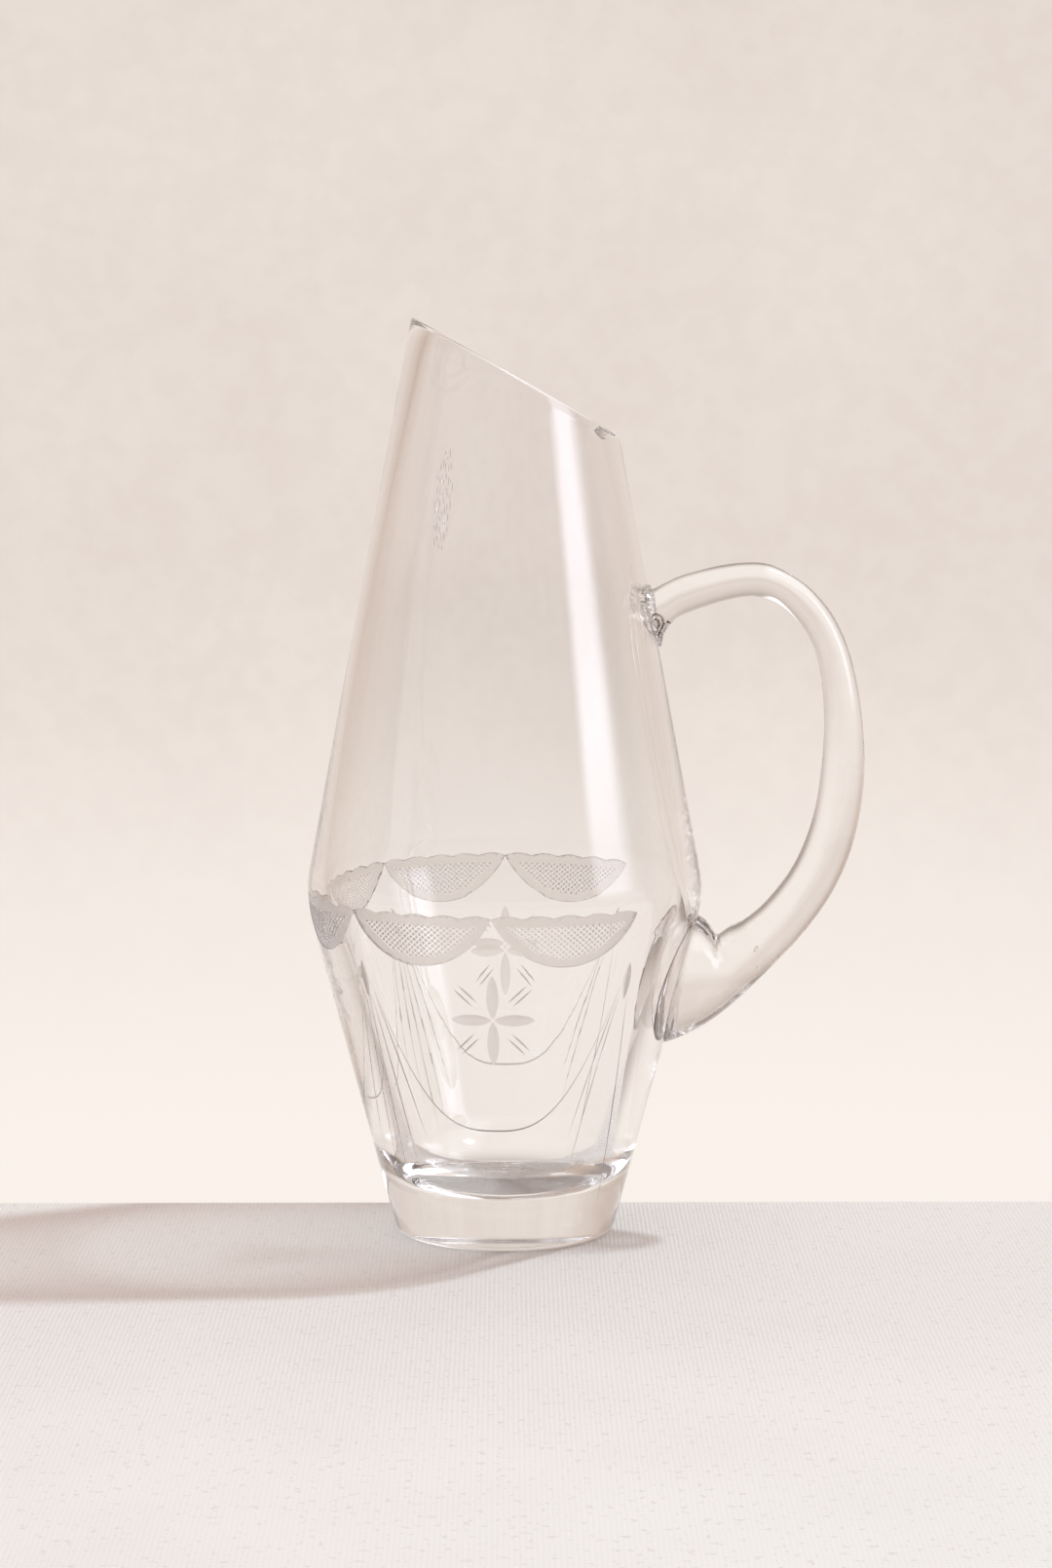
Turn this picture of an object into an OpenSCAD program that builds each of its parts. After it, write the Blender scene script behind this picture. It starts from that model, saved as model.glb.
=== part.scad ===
// A tall glass pitcher with a slant-cut mouth, a heavy bottom and a drawn side handle.
// Z is up, and the origin is the middle of the flat foot. The handle points to +X and
// the pouring tip to -X.

/* [Outside of the vessel] */
// Height of the pouring tip above the foot
total_h = 280; // [250:1:310]
// Radius of the lower cone where it would meet the foot's plane
foot_r = 33.5; // [30:0.5:38]
// Height of the widest line, where the two cones meet
ridge_z = 105; // [95:1:115]
// Radius where the two cones would meet if their meeting line were sharp
ridge_r = 61.2; // [57:0.2:66]
// Radius of the upper cone at the height of the pouring tip
tip_r = 28; // [25:0.5:32]
// Rounding of the widest line
ridge_round = 35; // [15:1:45]
// Rounding of the edge round the foot
foot_round = 4; // [2:0.5:6]
// Slope of the cut mouth in degrees, falling towards the handle
mouth_slope = 29.5; // [15:0.5:35]

/* [Thickness of the glass] */
// Wall at the pouring tip, measured level
tip_wall = 5.6; // [3.5:0.1:7]
// Wall where it is thinnest
neck_wall = 3.1; // [2.5:0.1:4]
// Height at which the wall is thinnest
neck_z = 185; // [170:1:200]
// Wall at the widest line
ridge_wall = 5.4; // [4:0.1:7]
// Wall low on the lower cone, above the bowl of the floor
low_wall = 9.4; // [8:0.1:11]
// Height at which that low wall is measured
low_z = 48; // [45:1:55]
// Height of the inside floor above the foot
floor_z = 16; // [13:0.5:19]
// Rounding between the inside floor and the wall
bowl_round = 20; // [14:0.5:24]
// Height of the level line where the solid base ends and the wall starts
base_h = 22; // [20:0.5:24]

/* [Handle] */
// Height of the middle of the upper joint
upper_join_z = 190.5; // [180:0.5:196]
// Height of the middle of the lower joint
lower_join_z = 79; // [72:0.5:84]
// How far the middle of the rod stands out from the wall at the widest part of the loop
grip_reach = 53; // [45:1:60]
// Thickness of the rod in the hand
grip_d = 13; // [11:0.5:15]
// Width across the upper joint
upper_seal_w = 26; // [20:1:30]
// Width across the lower joint
lower_seal_w = 31; // [24:1:34]

/* [Cut ornament] */
// Lobes in the swag band
lobe_count = 6; // [4:2:8]
// Angle on each side of the handle that the band leaves plain
band_gap = 47.7; // [40:0.1:60]
// Turn of the whole ornament about the vessel, in degrees
band_turn = -2; // [-3:0.5:3]
// Height of the upper edge of the band
band_z = 105.5; // [100:0.5:108]
// Depth of a lobe from the band's upper edge to its lowest point
lobe_drop = 15; // [12:0.5:18]
// How deep the band is cut into the wall
band_cut = 0.4; // [0.2:0.1:0.8]
// Height of the middle of each flower
flower_z = 74.5; // [70:0.5:78]
// Length of one upright petal
petal_l = 14; // [10:0.5:15]
// Length of one level petal
side_petal_l = 12; // [9:0.5:13]
// Width of a petal
petal_w = 3.7; // [2.5:0.1:4.5]
// Depth of a petal at its middle
petal_cut = 0.6; // [0.3:0.1:0.9]
// Length of each of the short strokes between the petals
stroke_l = 8; // [5:0.5:9]
// Width of a short stroke
stroke_w = 0.7; // [0.4:0.1:1.2]
// Depth of a short stroke
stroke_cut = 0.3; // [0.2:0.1:0.6]
// Length of the leaf at the top of each fan
leaf_l = 9; // [6:0.5:12]
// Width of that leaf
leaf_w = 2.6; // [1.5:0.1:4]
// Height of the leaf's upper tip
leaf_top_z = 90.5; // [86:0.5:91]

/* [Hidden] */

$fn = 96;
// What a cutting form runs on past the glass that it cuts
overrun = 10;
// Steps in each rounded corner of an outline
corner_steps = 8;
// Steps along the curved inside of the upper wall
wall_steps = 12;
// Where the curved inside starts above the widest line, as a share of the way to neck_z
wall_start_share = 0.3;
// The handle from its upper end to its lower end. Each row has: how far out from the wall as a
// share of grip_reach, how high between the two joints, the rod's thickness as a share of
// grip_d, and how much of the nearer joint's width it has taken on
handle_shares = [
    [-0.075, 1.000, 1.46, 1.00],
    [ 0.098, 1.031, 0.94, 0.10],
    [ 0.351, 1.076, 0.86, 0.00],
    [ 0.603, 1.092, 0.80, 0.00],
    [ 0.819, 1.054, 0.75, 0.00],
    [ 0.967, 0.951, 0.75, 0.00],
    [ 1.004, 0.798, 0.85, 0.00],
    [ 0.949, 0.610, 1.00, 0.00],
    [ 0.823, 0.413, 1.10, 0.00],
    [ 0.604, 0.242, 1.12, 0.00],
    [ 0.432, 0.117, 1.23, 0.05],
    [ 0.189, 0.000, 1.50, 0.45],
    [-0.062, -0.103, 1.62, 1.00]
];
// Rings along each stretch between two rows, and points round each ring
stretch_rings = 6;
ring_points = 32;
// Rings that belong to the upper joint and to the lower joint
upper_seal_rings = 7;
lower_seal_rings = 9;
// Scallops along the upper edge of a lobe, their rise, and the steps in each one
scallop_count = 5;
scallop_rise = 0.9;
scallop_steps = 5;
// Steps along the round lower edge of a lobe
lobe_steps = 24;
// Plain glass between the middle of a flower and each petal
petal_gap = 0.4;
// From the middle of a flower to the middle of a stroke pair, and between the two strokes
stroke_reach = 11;
stroke_pitch = 1.9;
// How far a grinding wheel's two flanks run on past the cut, as a share of its depth
flank_share = 2.5;

function unit(v) = v / norm(v);
function mix(a, b, t) = a + (b - a) * t;

// Points that round the corner b, between a and c, with radius r
function rounded(a, b, c, r) =
    let (to_a = unit(a - b),
         to_c = unit(c - b),
         half = acos(to_a * to_c) / 2,
         mid = b + unit(to_a + to_c) * r / sin(half),
         first = b + to_a * r / tan(half) - mid,
         last = b + to_c * r / tan(half) - mid)
    [for (i = [0 : corner_steps]) mid + unit(mix(first, last, i / corner_steps)) * r];

// Radius at height z on the straight line through a and b
function line_r(z, a, b) = mix(a.x, b.x, (z - a.y) / (b.y - a.y));

// The sharp corners of the outside, as [radius, height]
foot_corner = [foot_r, 0];
ridge_corner = [ridge_r, ridge_z];
tip_corner = [tip_r, total_h];
top_z = total_h + overrun;
function outer_r(z) = z < ridge_z ? line_r(z, foot_corner, ridge_corner)
                                  : line_r(z, ridge_corner, tip_corner);
outer_outline = concat(
    [[0, 0]],
    rounded([0, 0], foot_corner, ridge_corner, foot_round),
    rounded(foot_corner, ridge_corner, tip_corner, ridge_round),
    [[outer_r(top_z), top_z], [0, top_z]]);

// The upper wall is thinnest at neck_z and thickens with the square of the distance from there
function upper_wall(z) = z > neck_z
    ? mix(neck_wall, tip_wall, pow((z - neck_z) / (total_h - neck_z), 2))
    : mix(neck_wall, ridge_wall, pow((neck_z - z) / (neck_z - ridge_z), 2));
function upper_inside(z) = [outer_r(z) - upper_wall(z), z];

// The inside, from the floor's middle up the bowl, the lower wall and the upper wall
low_inside = [outer_r(low_z) - low_wall, low_z];
ridge_inside = [ridge_r - ridge_wall, ridge_z];
floor_corner = [line_r(floor_z, low_inside, ridge_inside), floor_z];
wall_start_z = mix(ridge_z, neck_z, wall_start_share);
inner_outline = concat(
    [[0, floor_z]],
    rounded([0, floor_z], floor_corner, ridge_inside, bowl_round),
    rounded(floor_corner, ridge_inside, upper_inside(wall_start_z), ridge_round - ridge_wall),
    [for (i = [0 : wall_steps]) upper_inside(mix(wall_start_z, top_z, i / wall_steps))],
    [[0, top_z]]);

module outer_form() {
    rotate_extrude() polygon(outer_outline);
}

module inside_form() {
    rotate_extrude() polygon(inner_outline);
}

// Everything above the slanted mouth
module mouth_cut() {
    translate([-tip_r, 0, total_h]) rotate([0, mouth_slope, 0])
        translate([-ridge_r, -ridge_r, 0]) cube([3 * ridge_r, 2 * ridge_r, total_h]);
}

// The level slice that the solid base takes up
module base_slice() {
    cylinder(r = ridge_r, h = base_h);
}

// Places of the ornament round the vessel: join number n of the band, from the handle's near side
lobe_angle = (360 - 2 * band_gap) / lobe_count;
function join_angle(n) = band_turn - band_gap - n * lobe_angle;

// The slope of the lower wall, and its radius at the flowers
lower_slope = atan2(ridge_r - foot_r, ridge_z);
flower_r = outer_r(flower_z);

// A point of the lower wall: X looks straight out of the glass and Z runs up along it
module on_lower_wall(angle, z) {
    rotate([0, 0, angle]) translate([outer_r(z), 0, z]) rotate([0, lower_slope, 0]) children();
}

// A grinding wheel with a mitred edge, set on the wall at the origin. It leaves a pointed cut of
// this length, width and depth, which runs along Z or is turned from Z by angle about X
module cut_wheel(l, w, depth, angle = 0) {
    bend = pow(sin(angle), 2) / flower_r;
    wheel_r = 1 / (8 * depth / pow(l, 2) - bend);
    flank = flank_share * depth;
    rotate([angle, 0, 0]) translate([wheel_r - depth, 0, 0]) rotate([90, 0, 0])
        rotate_extrude() polygon([
            [wheel_r, 0],
            [wheel_r - flank, flank_share * w / 2],
            [wheel_r - flank, -flank_share * w / 2]]);
}

// Turn about the vessel that moves a point of the lower wall sideways by this length
function side_turn(l) = asin(l / flower_r);

module flower_cuts(angle) {
    rise = (petal_l / 2 + petal_gap) * cos(lower_slope);
    turn = side_turn(side_petal_l / 2 + petal_gap);
    for (side = [-1, 1]) {
        on_lower_wall(angle, flower_z + side * rise) cut_wheel(petal_l, petal_w, petal_cut);
        on_lower_wall(angle + side * turn, flower_z)
            cut_wheel(side_petal_l, petal_w, petal_cut, 90);
    }
    for (a = [45 : 90 : 315], side = [-1, 1]) {
        along = stroke_reach * cos(lower_slope);
        across = side * stroke_pitch / 2;
        on_lower_wall(angle + side_turn(stroke_reach * cos(a) - across * sin(a)),
                      flower_z + along * sin(a) + across * cos(a))
            cut_wheel(stroke_l, stroke_w, stroke_cut, a - 90);
    }
}

module leaf_cut(angle) {
    on_lower_wall(angle, leaf_top_z - leaf_l / 2 * cos(lower_slope))
        cut_wheel(leaf_l, leaf_w, petal_cut);
}

// The outline of one lobe, seen straight on: scallops above, one round arc below
lobe_w = 2 * ridge_r * sin(lobe_angle / 2);
lobe_r = (pow(lobe_w / 2, 2) + pow(lobe_drop, 2)) / (2 * lobe_drop);
lobe_half_arc = asin(lobe_w / 2 / lobe_r);
lobe_outline = concat(
    [for (i = [0 : scallop_count - 1], j = [0 : scallop_steps - 1])
        [((i + j / scallop_steps) / scallop_count - 1 / 2) * lobe_w,
         scallop_rise * sin(180 * j / scallop_steps)]],
    [for (i = [0 : lobe_steps - 1])
        let (a = lobe_half_arc * (1 - 2 * i / lobe_steps))
        [lobe_r * sin(a), lobe_r - lobe_drop - lobe_r * cos(a)]]);

module lobe_cut(angle) {
    difference() {
        rotate([0, 0, angle]) translate([ridge_r / 2, 0, band_z])
            rotate([90, 0, 90]) linear_extrude(ridge_r) polygon(lobe_outline);
        rotate_extrude() polygon([for (p = outer_outline) [max(p.x - band_cut, 0), p.y]]);
    }
}

// The blown wall with its slanted mouth and its cut ornament
module vessel() {
    color([0.93, 0.95, 0.95, 0.45]) difference() {
        outer_form();
        inside_form();
        mouth_cut();
        base_slice();
        for (n = [0 : lobe_count - 1]) lobe_cut(join_angle(n + 1 / 2));
        for (n = [1 : 2 : lobe_count - 1]) flower_cuts(join_angle(n));
        for (n = [0 : 2 : lobe_count]) leaf_cut(join_angle(n));
    }
}

// The heavy solid bottom with the bowl-shaped floor
module base() {
    color([0.90, 0.92, 0.92, 0.6]) intersection() {
        difference() {
            outer_form();
            inside_form();
        }
        base_slice();
    }
}

// A smooth curve through the rows of a table, at place t counted in rows
function row(t) = handle_shares[max(0, min(len(handle_shares) - 1, t))];
function smooth_row(t) =
    let (i = floor(t), f = t - i, a = row(i - 1), b = row(i), c = row(i + 1), d = row(i + 2))
    b + ((c - a) * f + (2 * a - 5 * b + 4 * c - d) * pow(f, 2)
        + (3 * b - a - 3 * c + d) * pow(f, 3)) / 2;

ring_count = (len(handle_shares) - 1) * stretch_rings + 1;
function rod_place(k) =
    let (s = smooth_row(k / stretch_rings), z = mix(lower_join_z, upper_join_z, s[1]))
    [outer_r(z) + s[0] * grip_reach, z];
function rod_half(k) = smooth_row(k / stretch_rings)[2] * grip_d / 2;
function rod_half_width(k) =
    let (seal_w = k < ring_count / 2 ? upper_seal_w : lower_seal_w)
    mix(rod_half(k), seal_w / 2, smooth_row(k / stretch_rings)[3]);

// Ring k of the rod: an ellipse square to the rod's run
function rod_ring(k) =
    let (p = rod_place(k),
         run = unit(rod_place(min(k + 1, ring_count - 1)) - rod_place(max(k - 1, 0))),
         up = [-run.y, run.x],
         h = rod_half(k),
         w = rod_half_width(k))
    [for (j = [0 : ring_points - 1])
        let (a = 360 * j / ring_points, q = p + up * h * cos(a)) [q.x, w * sin(a), q.y]];

// The stretch of the rod from ring a to ring b, closed at both ends
module rod(a, b) {
    n = ring_points;
    points = [for (k = [a : b]) each rod_ring(k)];
    sides = [for (k = [0 : b - a - 1], j = [0 : n - 1])
        [k * n + j, k * n + (j + 1) % n, (k + 1) * n + (j + 1) % n, (k + 1) * n + j]];
    first_end = [for (j = [n - 1 : -1 : 0]) j];
    last_end = [for (j = [0 : n - 1]) (b - a) * n + j];
    polyhedron(points, concat(sides, [first_end, last_end]));
}

// The pad by which the rod's upper end sits on the wall
module upper_seal() {
    color([0.80, 0.86, 0.90]) difference() {
        rod(0, upper_seal_rings);
        outer_form();
    }
}

// The drawn rod in the hand
module handle() {
    color([0.86, 0.90, 0.90]) rod(upper_seal_rings, ring_count - 1 - lower_seal_rings);
}

// The thick drop by which the rod's lower end sits on the wall
module lower_seal() {
    color([0.80, 0.86, 0.90]) difference() {
        rod(ring_count - 1 - lower_seal_rings, ring_count - 1);
        outer_form();
    }
}

vessel();
base();
upper_seal();
handle();
lower_seal();
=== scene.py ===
import math

import bmesh
import bpy
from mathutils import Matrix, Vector, geometry


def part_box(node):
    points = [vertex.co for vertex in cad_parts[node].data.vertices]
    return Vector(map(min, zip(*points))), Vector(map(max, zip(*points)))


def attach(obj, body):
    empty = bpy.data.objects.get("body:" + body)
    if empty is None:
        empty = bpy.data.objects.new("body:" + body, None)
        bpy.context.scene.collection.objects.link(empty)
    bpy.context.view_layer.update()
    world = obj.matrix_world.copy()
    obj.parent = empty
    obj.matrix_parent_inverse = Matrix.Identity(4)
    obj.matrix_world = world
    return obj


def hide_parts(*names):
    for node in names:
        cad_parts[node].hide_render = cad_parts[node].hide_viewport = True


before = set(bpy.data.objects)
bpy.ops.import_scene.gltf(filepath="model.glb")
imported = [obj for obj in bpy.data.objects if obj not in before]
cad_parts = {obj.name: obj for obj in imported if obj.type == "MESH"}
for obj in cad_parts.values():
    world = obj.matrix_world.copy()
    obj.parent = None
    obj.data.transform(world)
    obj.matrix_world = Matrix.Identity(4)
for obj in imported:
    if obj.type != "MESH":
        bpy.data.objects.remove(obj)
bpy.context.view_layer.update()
mm = 0.001
weldReach = 0.002 * mm


# Small helpers

def mix(a, b, t):
    return a + (b - a) * t


def clamp(value, low=0.0, high=1.0):
    return max(low, min(high, value))


def ease(value, start, end):  # 0 before start, 1 after end, soft between
    t = clamp((value - start) / (end - start))
    return t * t * (3 - 2 * t)


def letGo():
    bpy.ops.object.select_all(action="DESELECT")


def pick(obj):
    letGo()
    obj.select_set(True)
    bpy.context.view_layer.objects.active = obj


def editMode(obj, kind="VERT"):
    pick(obj)
    bpy.ops.object.mode_set(mode="EDIT")
    bpy.ops.mesh.select_mode(type=kind)


def objectMode():
    bpy.ops.object.mode_set(mode="OBJECT")


def selectAll():
    bpy.ops.mesh.select_all(action="SELECT")


def faceOutwards():
    selectAll()
    bpy.ops.mesh.normals_make_consistent(inside=False)


def paint(obj, *materials):
    for material in materials:
        obj.data.materials.append(material)


def join(objects):  # all into the first one
    pick(objects[0])
    for obj in objects:
        obj.select_set(True)
    if len(objects) > 1:
        bpy.ops.object.join()


def combine(body, tool, operation):  # an exact boolean, which uses up its tool
    pick(body)
    cut = body.modifiers.new("cut", "BOOLEAN")
    cut.operation = operation
    cut.solver = "EXACT"
    cut.material_mode = "TRANSFER"
    cut.object = tool
    bpy.ops.object.modifier_apply(modifier="cut")
    bpy.data.objects.remove(tool)


def inMm(values):
    return [value * mm for value in values]


# Shader sums: a wrapped socket that Python's own operators work on

class Sock:
    def __init__(self, tree, socket=None):
        self.tree = tree
        self.socket = socket

    def node(self, kind, settings=None, inputs=None, output=0):
        made = self.tree.nodes.new(kind)
        for key, value in (settings or {}).items():
            setattr(made, key, value)
        for key, value in (inputs or {}).items():
            if isinstance(value, Sock):
                self.tree.links.new(value.socket, made.inputs[key])
            else:
                made.inputs[key].default_value = value
        return Sock(self.tree, made.outputs[output])

    def sum(self, operation, *values):
        return self.node("ShaderNodeMath", {"operation": operation}, dict(enumerate(values)))

    def __add__(self, other):
        return self.sum("ADD", self, other)

    def __rsub__(self, other):
        return self.sum("SUBTRACT", other, self)

    def __mul__(self, other):
        return self.sum("MULTIPLY", self, other)

    def __rmul__(self, other):
        return self.sum("MULTIPLY", other, self)

    def __pow__(self, other):
        return self.sum("POWER", self, other)

    def between(self, start, end, atStart=0.0, atEnd=1.0):
        settings = {"interpolation_type": "SMOOTHSTEP"}
        values = {"Value": self, "From Min": start, "From Max": end, "To Min": atStart, "To Max": atEnd}
        return self.node("ShaderNodeMapRange", settings, values)

    def window(self, low, high, soft):  # 1 between low and high, soft at both edges
        return self.between(low - soft, low) * (1 - self.between(high, high + soft))

    def blend(self, colour, other):  # self is the share of other
        values = {0: self, 6: colour, 7: other}
        return self.node("ShaderNodeMix", {"data_type": "RGBA"}, values, 2)

    def noise(self, scale, detail):  # self is the place
        return self.node("ShaderNodeTexNoise", None, {"Vector": self, "Scale": scale, "Detail": detail})

    def bump(self, distance, strength=1.0):  # self is the height
        values = {"Strength": strength, "Distance": distance * mm, "Height": self}
        return self.node("ShaderNodeBump", None, values)

    def xyz(self):
        split = self.node("ShaderNodeSeparateXYZ", None, {0: self})
        return [Sock(self.tree, s) for s in split.socket.node.outputs]

    def rays(self, *names):
        path = self.node("ShaderNodeLightPath").socket.node
        return [Sock(self.tree, path.outputs[name]) for name in names]


def emptyTree(owner):
    owner.use_nodes = True
    owner.node_tree.nodes.clear()
    return Sock(owner.node_tree)


def finishTree(maker, kind, shader):
    out = maker.tree.nodes.new(kind)
    maker.tree.links.new(shader.socket, out.inputs["Surface"])


# Camera, where the photograph was taken from

camera = {
    "place": (0, -1070, 262),
    "tiltDown": 6.6,
    "turnRight": 0.35,
    "lens": 80.83,
    "sensorHeight": 36,
    "clipEnd": 20000,
}


def makeCamera():
    data = bpy.data.cameras.new("studioCamera")
    data.sensor_fit = "VERTICAL"
    data.sensor_height = camera["sensorHeight"]
    data.lens = camera["lens"]
    data.clip_end = camera["clipEnd"] * mm
    eye = bpy.data.objects.new("studioCamera", data)
    bpy.context.scene.collection.objects.link(eye)
    eye.location = Vector(camera["place"]) * mm
    eye.rotation_euler = (math.radians(90 - camera["tiltDown"]), 0, -math.radians(camera["turnRight"]))
    bpy.context.scene.camera = eye
    print("camera made")


makeCamera()

# Studio: a pale room that the camera and the glass see, and even light for everything else

studio = {
    "wallColour": (0.825, 0.74, 0.68),
    "wallShade": (0.765, 0.675, 0.62),
    # scale, detail and share of the two noises in the wall's shade
    "cloud": (9.0, 2.0, 0.5),
    "grain": (130.0, 3.0, 0.4),
    "mottleSpan": (0.35, 0.65),
    # What lies over the wall, in this order: its colour and the spans over which it comes in, with the shares
    # at both ends where they aren't 0 and 1. The turn is in degrees from straight ahead, right positive, and
    # x, y and z are those of the direction.
    "room": {
        "lowWall": ((0.955, 0.885, 0.83), ("z", -0.225, -0.035, 1, 0)),
        "ceiling": ((0.57, 0.49, 0.44), ("z", 0.05, 0.75)),
        "left": ((0.55, 0.425, 0.35), ("turn", -15, -62), ("z", -0.25, 0.1, 0.55, 1)),
        "right": ((0.67, 0.57, 0.52), ("turn", 20, 80)),
        "rightSide": ((0.13, 0.09, 0.07), ("turn", 72, 88)),
        "behindCamera": ((0.33, 0.28, 0.26), ("y", 0.15, -0.4)),
        "floor": ((0.36, 0.29, 0.25), ("y", 0.8, 0.45), ("z", -0.1, -0.5)),
        "deepFloor": ((0.06, 0.04, 0.03), ("y", 0.42, 0.15), ("z", -0.28, -0.45)),
        "sideLamp": (
            (3.9, 3.95, 4.6), ("turn", 94, 108), ("turn", 129, 121), ("z", 0.02, 0.18), ("z", 0.85, 0.7)),
        "topLamp": ((2.2, 2.2, 2.3), ("x", 0.2, 0.4), ("z", 0.5, 0.65), ("y", -0.75, -0.6)),
    },
    "glintColour": (24, 25, 27),
    "glintSize": (3, 6),
    "ambient": (0.72, 0.635, 0.605),
    "keyPlace": (555, 142, 1000),
    "keySize": 25,
    "keyStrength": 17.5,
    "keyColour": (0.73, 0.93, 1.0),
    "bounces": 40,
}


def makeWorld():
    world = bpy.data.worlds.new("studio")
    bpy.context.scene.world = world
    maker = emptyTree(world)
    direction = maker.node("ShaderNodeTexCoord", output=0)
    x, y, z = direction.xyz()
    axes = {"x": x, "y": y, "z": z, "turn": maker.sum("ARCTAN2", x, y) * (180 / math.pi)}
    cloud, grain = (
        direction.noise(scale, detail).between(*studio["mottleSpan"]) * share
        for scale, detail, share in (studio["cloud"], studio["grain"]))
    colour = (cloud + grain).blend((*studio["wallColour"], 1), (*studio["wallShade"], 1))
    for tint, *spans in studio["room"].values():
        share = math.prod(axes[axis].between(*span) for axis, *span in spans)
        colour = share.blend(colour, (*tint, 1))
    keyWay = tuple(Vector(studio["keyPlace"]).normalized())
    nearKey = maker.node("ShaderNodeVectorMath", {"operation": "DOT_PRODUCT"}, {0: direction, 1: keyWay}, 1)
    inner, outer = (math.cos(math.radians(angle)) for angle in studio["glintSize"])
    colour = nearKey.between(outer, inner).blend(colour, (*studio["glintColour"], 1))
    seen = maker.node("ShaderNodeBackground", None, {"Color": colour})
    light = maker.node("ShaderNodeBackground", None, {"Color": (*studio["ambient"], 1)})
    isCamera, isGlossy, isGlass, scattered = maker.rays(
        "Is Camera Ray", "Is Glossy Ray", "Is Transmission Ray", "Diffuse Depth")
    shown = maker.sum("MAXIMUM", maker.sum("MAXIMUM", isCamera, isGlossy), isGlass)
    shown = shown * maker.sum("LESS_THAN", scattered, 0.5)  # not by way of a matt surface
    both = maker.node("ShaderNodeMixShader", None, {0: shown, 1: light, 2: seen})
    finishTree(maker, "ShaderNodeOutputWorld", both)
    print("studio made")


def makeKeyLamp():  # near, but without falloff, so it lights the table evenly
    data = bpy.data.lights.new("keyLamp", "POINT")
    data.energy = 1
    data.shadow_soft_size = studio["keySize"] * mm
    data.color = studio["keyColour"]
    maker = emptyTree(data)
    even = maker.node("ShaderNodeLightFalloff", None, {"Strength": studio["keyStrength"]}, 2)
    lamp = maker.node("ShaderNodeEmission", None, {"Strength": even})
    finishTree(maker, "ShaderNodeOutputLight", lamp)
    key = bpy.data.objects.new("keyLamp", data)
    bpy.context.scene.collection.objects.link(key)
    key.location = Vector(studio["keyPlace"]) * mm
    key.visible_glossy = False
    key.visible_transmission = False
    print("key lamp made")


makeWorld()
makeKeyLamp()

# Table top, which ends just behind the pitcher as in the photograph

table = {
    "backEdge": 32.5,
    "width": 3200,
    "depth": 2400,
    "thickness": 30,
    "gapUnderGlass": 0.2,
    "colour": (0.885, 0.82, 0.79),
    # painted light: the table is tinted lighter towards the camera
    "nearLightColour": (0.93, 0.89, 0.87),
    "nearSpan": (-60, -300),
    "nearFade": 0.7,
    "gapColour": (0.36, 0.30, 0.27),
    # shares of the gap's colour from the darkest to the lightest weave
    "gapSpan": (-0.6, 0.9, 0.2, 0),
    # pitch, bend and share of the ribs and of the threads that cross them
    "ribs": (1.3, 3, 0.65),
    "threads": (1.9, 5, 0.35),
    # scale and detail of the noises
    "sway": (160.0, 3.0),
    "specks": (420.0, 2.0),
    "patches": (14.0, 3.0),
    "weaveShare": 0.55,
    "speckSpan": (0.62, 0.7, 0, -2),
    "relief": 0.16,
    "reliefStrength": 0.5,
    "roughness": 0.9,
    "shine": 0.2,
}


def linenMaterial():  # fine ribs that run away from the camera, crossed by a looser thread
    material = bpy.data.materials.new("paleLinen")
    maker = emptyTree(material)
    coords = maker.node("ShaderNodeTexCoord", output=3)
    x, y, _ = coords.xyz()
    sway = coords.noise(*table["sway"])

    def strands(across, pitch, bend, share):
        return maker.sum("SINE", across * (2 * math.pi / (pitch * mm)) + sway * bend) * share

    near = y.between(*inMm(table["nearSpan"]))
    weave = (strands(x, *table["ribs"]) + strands(y, *table["threads"])) * (1 - near * table["nearFade"])
    speck = coords.noise(*table["specks"]).between(*table["speckSpan"])
    light = weave * table["weaveShare"] + coords.noise(*table["patches"]) + speck
    # painted light: lighter towards the camera
    colour = near.blend((*table["colour"], 1), (*table["nearLightColour"], 1))
    colour = light.between(*table["gapSpan"]).blend(colour, (*table["gapColour"], 1))
    shader = maker.node("ShaderNodeBsdfPrincipled", None, {
        "Base Color": colour, "Roughness": table["roughness"], "Specular IOR Level": table["shine"],
        "Normal": weave.bump(table["relief"], table["reliefStrength"])})
    finishTree(maker, "ShaderNodeOutputMaterial", shader)
    return material


def makeTable():
    letGo()
    bpy.ops.mesh.primitive_cube_add(size=1)
    top = bpy.context.object
    top.name = "tableTop"
    top.scale = (table["width"] * mm, table["depth"] * mm, table["thickness"] * mm)
    top.location = (
        0,
        (table["backEdge"] - table["depth"] / 2) * mm,
        -(table["gapUnderGlass"] + table["thickness"] / 2) * mm)
    bpy.ops.object.transform_apply(location=True, rotation=True, scale=True)
    paint(top, linenMaterial())
    print("table made")


makeTable()

# Vessel: one blown body, turned from its outline

vessel = {
    "height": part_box("vessel")[1].z / mm,
    "footRadius": 33.5,
    "ridgeHeight": 105,
    "ridgeRadius": 61.2,
    "tipRadius": 28,
    "ridgeRound": 35,
    "footRound": 2.6,
    "footSteps": 8,
    "steps": 360,
    "cornerSteps": 20,
    # the mouth: slope of its cut in degrees, and the rows above slantStart, which lean over to meet it
    "mouthSlope": 29.5,
    "slantStart": 212,
    "slantRows": 8,
    "slantTries": 12,
    "rimRound": 0.9,
    "rimSteps": 4,
    "rimSlack": 0.01,
    # the inside: thickness of the wall at the tip, neck, ridge and low down, and the bowl-shaped floor
    "tipWall": 5.6,
    "neckWall": 3.1,
    "neckHeight": 185,
    "ridgeWall": 5.4,
    "lowWall": 9.4,
    "lowHeight": 48,
    "floorHeight": 16,
    "bowlRound": 20,
    "wallStartShare": 0.3,
    "wallSteps": 22,
    "floorSteps": 34,
    # rings in the floor, fading towards the wall
    "ripple": 0.36,
    "rippleLength": 6.8,
    "rippleReach": 14,
    # the outer wall keeps its own normals from this height, and this near to its outline
    "trueStart": 7.8,
    "wallSlack": 0.05,
}


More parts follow.
